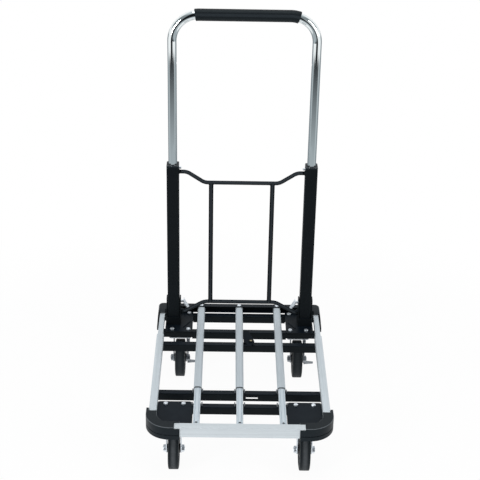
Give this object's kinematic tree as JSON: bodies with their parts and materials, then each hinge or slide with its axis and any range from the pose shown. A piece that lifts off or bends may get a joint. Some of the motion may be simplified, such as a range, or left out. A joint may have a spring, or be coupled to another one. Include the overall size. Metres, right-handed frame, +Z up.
{
  "type": "folding hand truck",
  "caption": "Folding platform truck with an extendable slatted deck, swivel casters and a fold-down telescoping handle.",
  "frame": {"origin": "on the floor, under the middle of the extended deck", "axes": "+X across to the truck's right as seen from the front bar, +Y from the front bar to the handle, +Z up"},
  "size_m": [0.442, 0.583, 0.9976],
  "materials": {
    "satin_aluminium": "satin anodised",
    "chrome_tube": "bright plated",
    "black_paint": "semi-gloss powder coat",
    "black_plastic": "fine moulded grain",
    "grip_rubber": "soft matt",
    "tyre_rubber": "matt, dusty tread",
    "hub_plastic": "matt moulded",
    "zinc_steel": "bright zinc plated",
    "yellow_zinc": "yellow zinc plated"
  },
  "bodies": {
    "rear_deck": {"rear_beam": "black_paint", "rear_beam_rivets": "zinc_steel", "rear_channel_back": "black_paint", "rear_channel_front": "black_paint", "latch_channel": "black_paint", "inner_rail_left": "satin_aluminium", "inner_rail_right": "satin_aluminium", "outer_slats": "satin_aluminium", "rear_cap_left": "black_plastic", "rear_cap_right": "black_plastic", "rear_plates": "black_paint", "hinge_bracket_left": "black_paint", "hinge_bracket_right": "black_paint", "pivot_bolts": "black_paint", "barrel_nuts": "black_paint", "rear_caster_bolts": "zinc_steel", "rear_caster_plates": "zinc_steel", "latch_rivet": "yellow_zinc"},
    "front_deck": {"front_bar": "satin_aluminium", "front_bumper_left": "black_plastic", "front_bumper_right": "black_plastic", "front_plates": "black_paint", "front_channel": "black_paint", "slotted_channel": "black_paint", "outer_rail_left": "satin_aluminium", "outer_rail_right": "satin_aluminium", "inner_slats": "satin_aluminium", "slat_guides": "zinc_steel", "front_caster_bolts": "zinc_steel", "front_caster_plates": "zinc_steel"},
    "fold_frame": {"upright_left": "black_paint", "upright_right": "black_paint", "upright_collars": "black_plastic", "back_top_rod": "black_paint", "back_lower_rod": "black_paint", "back_posts": "black_paint"},
    "handle": {"handle_tube": "chrome_tube", "handle_grip": "grip_rubber", "leg_glides": "black_plastic"},
    "latch": {"extension_latch": "black_paint"},
    "lock_left": {"lock_plunger_left": "zinc_steel"},
    "button_left": {"push_button_left": "zinc_steel"},
    "lock_right": {"lock_plunger_right": "zinc_steel"},
    "button_right": {"push_button_right": "zinc_steel"},
    "caster_front_left": {"fork_front_left": "zinc_steel"},
    "wheel_front_left": {"hub_front_left": "hub_plastic", "tyre_front_left": "tyre_rubber"},
    "caster_front_right": {"fork_front_right": "zinc_steel"},
    "wheel_front_right": {"hub_front_right": "hub_plastic", "tyre_front_right": "tyre_rubber"},
    "caster_rear_left": {"fork_rear_left": "zinc_steel"},
    "wheel_rear_left": {"hub_rear_left": "hub_plastic", "tyre_rear_left": "tyre_rubber"},
    "caster_rear_right": {"fork_rear_right": "zinc_steel"},
    "wheel_rear_right": {"hub_rear_right": "hub_plastic", "tyre_rear_right": "tyre_rubber"},
    "brake_rear_left": {"brake_lever_rear_left": "zinc_steel"},
    "brake_rear_right": {"brake_lever_rear_right": "zinc_steel"}
  },
  "joints": [
    {"name": "handle_fold", "type": "hinge", "parent": "rear_deck", "child": "fold_frame", "pos_m": [0, 0.2125, 0.176], "axis": [1, 0, 0], "range_deg": [0, 90]},
    {"name": "handle_slide", "type": "slide", "parent": "fold_frame", "child": "handle", "axis": [0, 0, -1], "range_m": [0, 0.275]},
    {"name": "deck_extension", "type": "slide", "parent": "rear_deck", "child": "front_deck", "axis": [0, 1, 0], "range_m": [0, 0.15]},
    {"name": "latch_turn", "type": "hinge", "parent": "rear_deck", "child": "latch", "pos_m": [0.03, 0.112, 0.143], "axis": [0, 0, -1], "range_deg": [0, 13]},
    {"name": "lock_slide_left", "type": "slide", "parent": "rear_deck", "child": "lock_left", "axis": [-1, 0, 0], "range_m": [0, 0.0043]},
    {"name": "button_press_left", "type": "slide", "parent": "fold_frame", "child": "button_left", "axis": [-1, 0, 0], "range_m": [0, 0.004], "stiffness_N_per_m": 400},
    {"name": "lock_slide_right", "type": "slide", "parent": "rear_deck", "child": "lock_right", "axis": [1, 0, 0], "range_m": [0, 0.0043]},
    {"name": "button_press_right", "type": "slide", "parent": "fold_frame", "child": "button_right", "axis": [1, 0, 0], "range_m": [0, 0.004], "stiffness_N_per_m": 400},
    {"name": "swivel_front_left", "type": "hinge", "parent": "front_deck", "child": "caster_front_left", "pos_m": [-0.15575, -0.21425, 0.112], "axis": [0, 0, 1], "continuous": true},
    {"name": "spin_front_left", "type": "hinge", "parent": "caster_front_left", "child": "wheel_front_left", "pos_m": [-0.15575, -0.22425, 0.05], "axis": [1, 0, 0], "continuous": true},
    {"name": "swivel_front_right", "type": "hinge", "parent": "front_deck", "child": "caster_front_right", "pos_m": [0.15575, -0.21425, 0.112], "axis": [0, 0, 1], "continuous": true},
    {"name": "spin_front_right", "type": "hinge", "parent": "caster_front_right", "child": "wheel_front_right", "pos_m": [0.15575, -0.22425, 0.05], "axis": [1, 0, 0], "continuous": true},
    {"name": "swivel_rear_left", "type": "hinge", "parent": "rear_deck", "child": "caster_rear_left", "pos_m": [-0.15575, 0.21825, 0.112], "axis": [0, 0, 1], "continuous": true},
    {"name": "spin_rear_left", "type": "hinge", "parent": "caster_rear_left", "child": "wheel_rear_left", "pos_m": [-0.15575, 0.18225, 0.05], "axis": [1, 0, 0], "continuous": true},
    {"name": "brake_rear_left", "type": "hinge", "parent": "caster_rear_left", "child": "brake_rear_left", "pos_m": [-0.15575, 0.21425, 0.084], "axis": [-1, 0, 0], "range_deg": [0, 8]},
    {"name": "swivel_rear_right", "type": "hinge", "parent": "rear_deck", "child": "caster_rear_right", "pos_m": [0.15575, 0.21825, 0.112], "axis": [0, 0, 1], "continuous": true},
    {"name": "spin_rear_right", "type": "hinge", "parent": "caster_rear_right", "child": "wheel_rear_right", "pos_m": [0.15575, 0.18225, 0.05], "axis": [1, 0, 0], "continuous": true},
    {"name": "brake_rear_right", "type": "hinge", "parent": "caster_rear_right", "child": "brake_rear_right", "pos_m": [0.15575, 0.21425, 0.084], "axis": [-1, 0, 0], "range_deg": [0, 8]}
  ]
}
